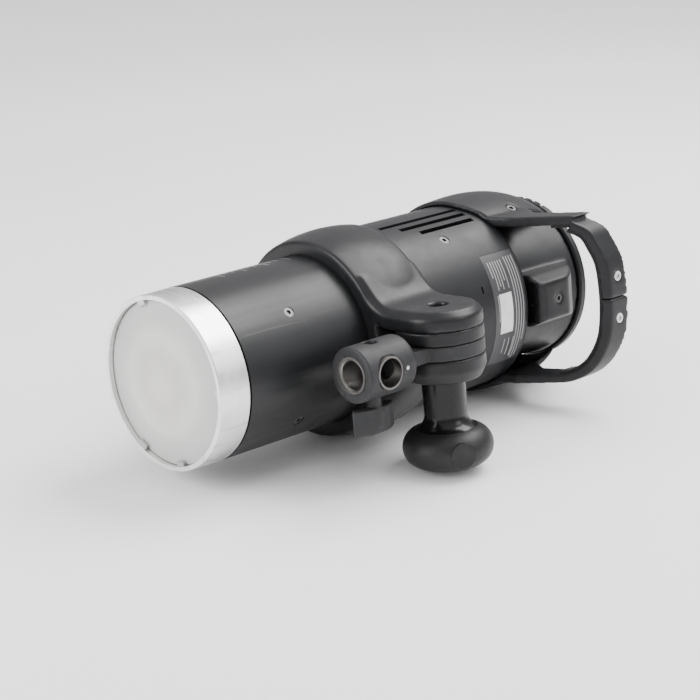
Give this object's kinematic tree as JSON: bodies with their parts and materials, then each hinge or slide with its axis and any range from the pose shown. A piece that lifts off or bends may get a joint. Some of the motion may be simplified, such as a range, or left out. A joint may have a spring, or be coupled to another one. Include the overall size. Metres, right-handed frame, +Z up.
{
  "type": "monolight strobe",
  "caption": "Tubular studio flash head lying on its collar, with a frosted front, tilting stand adapter, clamp knob and rear bail handle.",
  "frame": {"origin": "middle of the bounding box footprint, on the surface that it lies on", "axes": "-Y is the way the light points, +X is the side that faces the stand in use (rolled up 6.74 degrees), +Z is up as it lies"},
  "size_m": [0.1756, 0.3078, 0.123],
  "materials": {
    "bare_aluminium": "brushed, scratched",
    "frosted_glass": "frosted",
    "spring_steel": "bare",
    "black_rubber": "matt",
    "tube_black": "black anodised, scuffed",
    "dark_metal": "matt",
    "screw_black": "black oxide",
    "bright_aluminium": "bright",
    "clear_glass": "clear",
    "ceramic": "fired ceramic",
    "collar_black": "fine moulded grain",
    "plate_black": "satin",
    "adapter_black": "matt anodised",
    "worn_steel": "worn",
    "gloss_black": "polished",
    "soft_black": "soft touch",
    "casing_black": "fine grain",
    "label_film": "printed film",
    "bright_screw": "zinc",
    "panel_grey": "satin film",
    "display_glass": "tinted window",
    "button_grey": "soft",
    "brass_pin": "nickel plated",
    "can_sleeve": "shrink sleeve",
    "board_green": "lacquered"
  },
  "bodies": {
    "head": {"front_ring": "bare_aluminium", "glass_plate": "frosted_glass", "glass_clips": "spring_steel", "ring_gasket": "black_rubber", "front_tube": "tube_black", "lamp_carrier": "dark_metal", "tube_screws": "screw_black", "reflector_bowl": "bright_aluminium", "flash_tube": "clear_glass", "modelling_lamp": "clear_glass", "lamp_base": "ceramic", "collar": "collar_black", "upper_friction_plate": "plate_black", "lower_clamp_plate": "plate_black", "tilt_bolt": "screw_black", "casing_upper": "casing_black", "casing_lower": "casing_black", "rating_plate": "label_film", "casing_screws": "screw_black", "hood_handle_left": "casing_black", "hood_handle_right": "casing_black", "handle_liner": "soft_black", "handle_screws": "bright_screw", "hood_screws": "screw_black", "rear_housing": "casing_black", "inlet_cover_plate": "gloss_black", "housing_screw": "screw_black", "rear_bezel": "casing_black", "control_panel": "panel_grey", "display_window": "display_glass", "sync_socket": "worn_steel", "mains_inlet": "gloss_black", "inlet_pins": "brass_pin", "chassis": "dark_metal", "capacitor_bank": "can_sleeve", "circuit_board": "board_green", "fan_frame": "dark_metal"},
    "adapter": {"stand_adapter": "adapter_black", "socket_bush": "worn_steel", "cross_bush": "worn_steel", "bush_pin": "spring_steel"},
    "wing": {"wing_lever": "adapter_black"},
    "knob": {"knob_sleeve": "gloss_black", "knob_head": "soft_black", "knob_plug": "soft_black"},
    "dial": {"power_dial": "soft_black"},
    "test_key": {"test_button": "button_grey"},
    "lamp_key": {"lamp_button": "button_grey"},
    "sync_key": {"sync_button": "button_grey"},
    "ready_key": {"ready_button": "button_grey"},
    "rocker": {"power_rocker": "gloss_black"},
    "fan": {"fan_rotor": "gloss_black"}
  },
  "joints": [
    {"name": "adapter_tilt", "type": "hinge", "parent": "head", "child": "adapter", "pos_m": [0.05511, -0.01765, 0.07115], "axis": [-0.1174, 0, 0.9931], "range_deg": [-10, 180]},
    {"name": "wing_turn", "type": "hinge", "parent": "adapter", "child": "wing", "pos_m": [0.05912, -0.07335, 0.04141], "axis": [0.1174, 0, -0.9931], "range_deg": [-180, 180]},
    {"name": "tilt_lock_turn", "type": "hinge", "parent": "head", "child": "knob", "pos_m": [0.06191, -0.01765, 0.01355], "axis": [0.1174, 0, -0.9931], "range_deg": [0, 330]},
    {"name": "power_dial_turn", "type": "hinge", "parent": "head", "child": "dial", "pos_m": [-0.04321, 0.14855, 0.05953], "axis": [0, 1, 0], "continuous": true},
    {"name": "test_press", "type": "slide", "parent": "head", "child": "test_key", "axis": [0, -1, 0], "range_m": [0, 0.0015], "stiffness_N_per_m": 700, "springref_m": -0.0005},
    {"name": "lamp_press", "type": "slide", "parent": "head", "child": "lamp_key", "axis": [0, -1, 0], "range_m": [0, 0.0015], "stiffness_N_per_m": 700, "springref_m": -0.0005},
    {"name": "sync_press", "type": "slide", "parent": "head", "child": "sync_key", "axis": [0, -1, 0], "range_m": [0, 0.0015], "stiffness_N_per_m": 700, "springref_m": -0.0005},
    {"name": "ready_press", "type": "slide", "parent": "head", "child": "ready_key", "axis": [0, -1, 0], "range_m": [0, 0.0015], "stiffness_N_per_m": 700, "springref_m": -0.0005},
    {"name": "rocker_flip", "type": "hinge", "parent": "head", "child": "rocker", "pos_m": [-0.02321, 0.14375, 0.08203], "axis": [0.1174, 0, -0.9931], "range_deg": [0, 12]},
    {"name": "fan_spin", "type": "hinge", "parent": "head", "child": "fan", "pos_m": [-0.02633, 0.09295, 0.06152], "axis": [0, 1, 0], "continuous": true}
  ]
}
